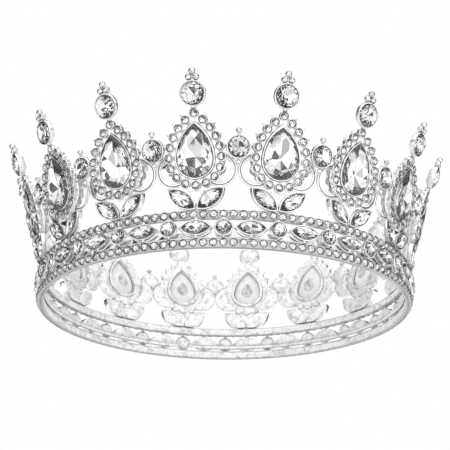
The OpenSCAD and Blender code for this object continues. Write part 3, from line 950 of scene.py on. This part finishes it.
def floor():
    """A pale floor that is seen from above only, because the camera is lower than it."""
    m, tree, shader = new_material("studio_floor")
    grain = noise(tree, 40.0)
    tint = ramp(tree, grain.outputs["Fac"], [(0.3, grey(0.90)), (0.7, grey(0.93))])
    tree.links.new(tint.outputs["Color"], shader.inputs["Base Color"])
    shader.inputs["Roughness"].default_value = 0.7
    out = next(n for n in tree.nodes if n.type == "OUTPUT_MATERIAL")
    clear = tree.nodes.new("ShaderNodeBsdfTransparent")
    facing = tree.nodes.new("ShaderNodeNewGeometry")
    mix = tree.nodes.new("ShaderNodeMixShader")
    tree.links.new(facing.outputs["Backfacing"], mix.inputs["Fac"])
    tree.links.new(shader.outputs["BSDF"], mix.inputs[1])
    tree.links.new(clear.outputs["BSDF"], mix.inputs[2])
    tree.links.new(mix.outputs["Shader"], out.inputs["Surface"])
    mesh = bpy.data.meshes.new("studio_floor")
    half = 1.6
    corners = [(-half, -half), (half, -half), (half, half), (-half, half)]
    mesh.from_pydata([(x, y, FLOOR_Z) for x, y in corners], [], [(0, 1, 2, 3)])
    mesh.materials.append(m)
    obj = bpy.data.objects.new("studio_floor", mesh)
    bpy.context.scene.collection.objects.link(obj)
    obj.visible_glossy = obj.visible_transmission = obj.visible_shadow = False


CARDS_TURN = 80.0                       # the dark cards' place round the crown, in degrees
STONE_LIGHT = 1.42                      # for the light that reaches the stones, with the metal's as 1


def studio_world():
    """Soft white light all round, with dark flags for the metal and small dark cards for the stones.

    The flags give the metal its thin dark edges, and a dim ceiling and the cards make the stones'
    dark facets."""
    world = bpy.data.worlds.new("studio")
    bpy.context.scene.world = world
    world.use_nodes = True
    tree = world.node_tree
    tree.nodes.clear()
    out = tree.nodes.new("ShaderNodeOutputWorld")
    coord = tree.nodes.new("ShaderNodeTexCoord")
    path = tree.nodes.new("ShaderNodeLightPath")
    split = tree.nodes.new("ShaderNodeSeparateXYZ")
    tree.links.new(coord.outputs["Generated"], split.inputs[0])
    up = math_node(tree, "MULTIPLY_ADD", split.outputs["Z"], 0.5)
    up.node.inputs[2].default_value = 0.5

    metal_sky = ramp(tree, up, [(0.0, grey(0.6)), (0.2, grey(0.85)), (0.35, grey(0.97)), (0.5, grey(1.0)),
                                (1.0, grey(0.95))])
    mottle = tree.nodes.new("ShaderNodeTexNoise")
    mottle.inputs["Scale"].default_value = 3.0
    mottle.inputs["Detail"].default_value = 1.0
    tree.links.new(coord.outputs["Generated"], mottle.inputs["Vector"])
    folds = ramp(tree, mottle.outputs["Fac"], [(0.38, grey(0.74)), (0.50, grey(1.0))])
    to_back = math_node(tree, "MULTIPLY_ADD", split.outputs["Y"], 0.5)
    rows = ramp(tree, up, [(0.555, grey(1.0)), (0.575, grey(0.06)), (0.71, grey(0.06)), (0.74, grey(1.0))])
    in_front = ramp(tree, to_back, [(0.1, grey(1.0)), (0.2, grey(0.0))])
    flag = mix_colour(tree, "LIGHTEN", 1.0, rows.outputs["Color"], in_front.outputs["Color"])
    wide_rows = ramp(tree, up, [(0.40, grey(1.0)), (0.46, grey(0.1)), (0.90, grey(0.1)), (0.96, grey(1.0))])
    to_front = ramp(tree, to_back, [(0.46, grey(1.0)), (0.58, grey(0.0))])
    wide_flag = mix_colour(tree, "LIGHTEN", 1.0, wide_rows.outputs["Color"], to_front.outputs["Color"])
    metal_light = metal_sky.outputs["Color"]
    for layer in (folds.outputs["Color"], flag, wide_flag):
        metal_light = mix_colour(tree, "MULTIPLY", 1.0, metal_light, layer)

    stone_sky = ramp(tree, up, [(0.0, grey(0.55)), (0.12, grey(0.75)), (0.24, grey(1.0)), (0.72, grey(1.0)),
                                (0.84, grey(0.75)), (1.0, grey(0.5))])
    cells = tree.nodes.new("ShaderNodeTexVoronoi")
    cells.inputs["Scale"].default_value = 6.0
    spun = tree.nodes.new("ShaderNodeMapping")
    spun.inputs["Rotation"].default_value = (0, 0, radians(CARDS_TURN))
    tree.links.new(coord.outputs["Generated"], spun.inputs["Vector"])
    tree.links.new(spun.outputs["Vector"], cells.inputs["Vector"])
    cells.inputs["Randomness"].default_value = 0.95
    pick = tree.nodes.new("ShaderNodeSeparateColor")
    tree.links.new(cells.outputs["Color"], pick.inputs["Color"])
    cards = ramp(tree, pick.outputs["Red"], [(0.20, grey(0.06)), (0.21, grey(0.35)), (0.27, grey(0.4)),
                                             (0.28, grey(1.0))])
    tone = map_range(tree, pick.outputs["Green"], 0.42, 1.0)
    patches = mix_colour(tree, "MULTIPLY", 1.0, cards.outputs["Color"], tone)
    patches = mix_colour(tree, "MULTIPLY", 1.0, patches, grey(STONE_LIGHT))
    stone_light = mix_colour(tree, "MULTIPLY", 1.0, stone_sky.outputs["Color"], patches)

    light = mix_colour(tree, "MIX", path.outputs["Is Transmission Ray"], metal_light, stone_light)
    even = mix_colour(tree, "MIX", path.outputs["Is Diffuse Ray"], light, grey(0.9))
    studio = tree.nodes.new("ShaderNodeBackground")
    studio.inputs["Strength"].default_value = 1.3
    tree.links.new(even, studio.inputs["Color"])
    plain = tree.nodes.new("ShaderNodeBackground")
    plain.inputs["Color"].default_value = (1, 1, 1, 1)
    plain.inputs["Strength"].default_value = 1.0
    mix = tree.nodes.new("ShaderNodeMixShader")
    tree.links.new(path.outputs["Is Camera Ray"], mix.inputs["Fac"])
    tree.links.new(studio.outputs["Background"], mix.inputs[1])
    tree.links.new(plain.outputs["Background"], mix.inputs[2])
    tree.links.new(mix.outputs["Shader"], out.inputs["Surface"])


def camera():
    """Below the rim and left of the front, looking up into the crown."""
    azimuth, elevation = -14.6, -17.42
    distance = 6.866 * RING_R * MM
    up_tilt, roll = 3.87, -0.42
    a, e = radians(azimuth), radians(elevation)
    place = Vector((sin(a) * cos(e), -cos(a) * cos(e), sin(e))) * distance
    look = -e + radians(up_tilt)
    ahead = Vector((-sin(a) * cos(look), cos(a) * cos(look), sin(look)))
    data = bpy.data.cameras.new("camera")
    data.sensor_width = 36.0
    data.lens = 101.6
    cam = bpy.data.objects.new("camera", data)
    cam.location = place
    cam.rotation_mode = "QUATERNION"
    rolled = Matrix.Rotation(radians(-roll), 3, "Z").to_quaternion()
    cam.rotation_quaternion = ahead.to_track_quat("-Z", "Y") @ rolled
    data.clip_start, data.clip_end = 0.01, 20
    bpy.context.scene.collection.objects.link(cam)
    bpy.context.scene.camera = cam


floor()
studio_world()
camera()
bpy.context.scene.view_settings.view_transform = "Standard"
